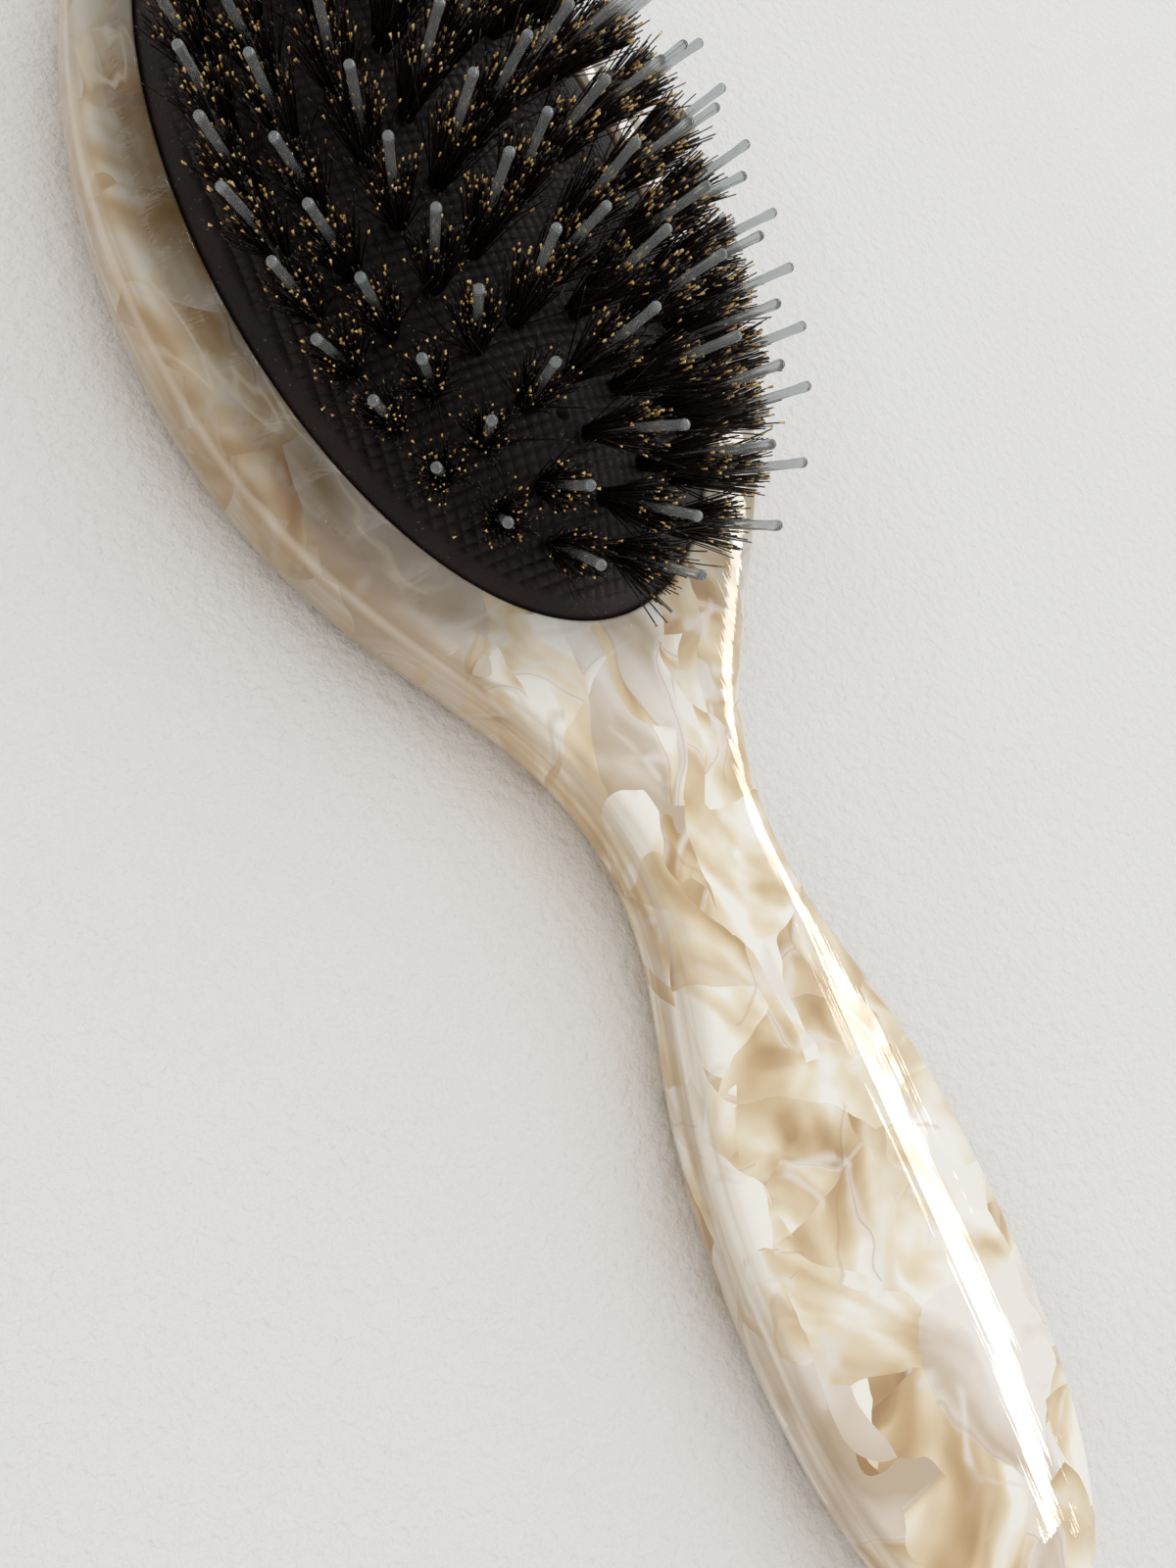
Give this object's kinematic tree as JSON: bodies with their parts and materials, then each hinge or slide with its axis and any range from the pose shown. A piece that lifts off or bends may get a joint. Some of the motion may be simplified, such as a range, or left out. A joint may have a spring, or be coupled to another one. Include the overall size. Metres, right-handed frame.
{
  "type": "cushion hairbrush",
  "caption": "Oval cushion hairbrush with a one-piece polished handle body, domed rubber air cushion and rows of bristle tufts around longer pins.",
  "frame": {"origin": "on the flat back, under the middle of the cushion", "axes": "+Y towards the rounded tip of the head, with the grip towards -Y; +Z from the flat back up through the cushion and tufts; +X to the right seen from above with the grip nearest"},
  "size_m": [0.068, 0.207, 0.0353],
  "materials": {
    "acetate": "polished cream mother-of-pearl cellulose acetate",
    "cushion_rubber": "matt black rubber with a fine square grid",
    "bristle_tuft": "black-brown boar bristles with pale tips round a nylon pin"
  },
  "bodies": {
    "brush_body": {"handle_body": "acetate", "rubber_cushion": "cushion_rubber"},
    "tufts_row_1": {"tufts_row_1_01": "bristle_tuft", "tufts_row_1_02": "bristle_tuft", "tufts_row_1_03": "bristle_tuft", "tufts_row_1_04": "bristle_tuft", "tufts_row_1_05": "bristle_tuft", "tufts_row_1_06": "bristle_tuft", "tufts_row_1_07": "bristle_tuft", "tufts_row_1_08": "bristle_tuft", "tufts_row_1_09": "bristle_tuft", "tufts_row_1_10": "bristle_tuft", "tufts_row_1_11": "bristle_tuft", "tufts_row_1_12": "bristle_tuft", "tufts_row_1_13": "bristle_tuft", "tufts_row_1_14": "bristle_tuft", "tufts_row_1_15": "bristle_tuft", "tufts_row_1_16": "bristle_tuft"},
    "tufts_row_2": {"tufts_row_2_01": "bristle_tuft", "tufts_row_2_02": "bristle_tuft", "tufts_row_2_03": "bristle_tuft", "tufts_row_2_04": "bristle_tuft", "tufts_row_2_05": "bristle_tuft", "tufts_row_2_06": "bristle_tuft", "tufts_row_2_07": "bristle_tuft", "tufts_row_2_08": "bristle_tuft", "tufts_row_2_09": "bristle_tuft", "tufts_row_2_10": "bristle_tuft", "tufts_row_2_11": "bristle_tuft", "tufts_row_2_12": "bristle_tuft", "tufts_row_2_13": "bristle_tuft"},
    "tufts_row_3": {"tufts_row_3_01": "bristle_tuft", "tufts_row_3_02": "bristle_tuft", "tufts_row_3_03": "bristle_tuft", "tufts_row_3_04": "bristle_tuft", "tufts_row_3_05": "bristle_tuft", "tufts_row_3_06": "bristle_tuft", "tufts_row_3_07": "bristle_tuft", "tufts_row_3_08": "bristle_tuft", "tufts_row_3_09": "bristle_tuft", "tufts_row_3_10": "bristle_tuft"},
    "tufts_row_4": {"tufts_row_4_01": "bristle_tuft", "tufts_row_4_02": "bristle_tuft", "tufts_row_4_03": "bristle_tuft", "tufts_row_4_04": "bristle_tuft", "tufts_row_4_05": "bristle_tuft", "tufts_row_4_06": "bristle_tuft", "tufts_row_4_07": "bristle_tuft"},
    "tufts_middle": {"tuft_middle_1": "bristle_tuft", "tuft_middle_2": "bristle_tuft", "tuft_middle_3": "bristle_tuft", "tuft_middle_4": "bristle_tuft", "tuft_middle_5": "bristle_tuft"}
  },
  "joints": [
    {"name": "cushion_press", "type": "slide", "parent": "brush_body", "child": "tufts_middle", "axis": [0, 0, -1], "range_m": [0, 0.004], "stiffness_N_per_m": 800, "deforming": ["rubber_cushion"]},
    {"name": "cushion_press_row_1", "type": "slide", "parent": "brush_body", "child": "tufts_row_1", "axis": [0, 0, -1], "range_m": [0, 0.00156], "stiffness_N_per_m": 800},
    {"name": "cushion_press_row_2", "type": "slide", "parent": "brush_body", "child": "tufts_row_2", "axis": [0, 0, -1], "range_m": [0, 0.00252], "stiffness_N_per_m": 800},
    {"name": "cushion_press_row_3", "type": "slide", "parent": "brush_body", "child": "tufts_row_3", "axis": [0, 0, -1], "range_m": [0, 0.00341], "stiffness_N_per_m": 800},
    {"name": "cushion_press_row_4", "type": "slide", "parent": "brush_body", "child": "tufts_row_4", "axis": [0, 0, -1], "range_m": [0, 0.0039], "stiffness_N_per_m": 800}
  ],
  "couplings": [
    {"joint": "cushion_press_row_1", "follows": "cushion_press", "ratio": 0.378},
    {"joint": "cushion_press_row_2", "follows": "cushion_press", "ratio": 0.617},
    {"joint": "cushion_press_row_3", "follows": "cushion_press", "ratio": 0.84},
    {"joint": "cushion_press_row_4", "follows": "cushion_press", "ratio": 0.963}
  ]
}
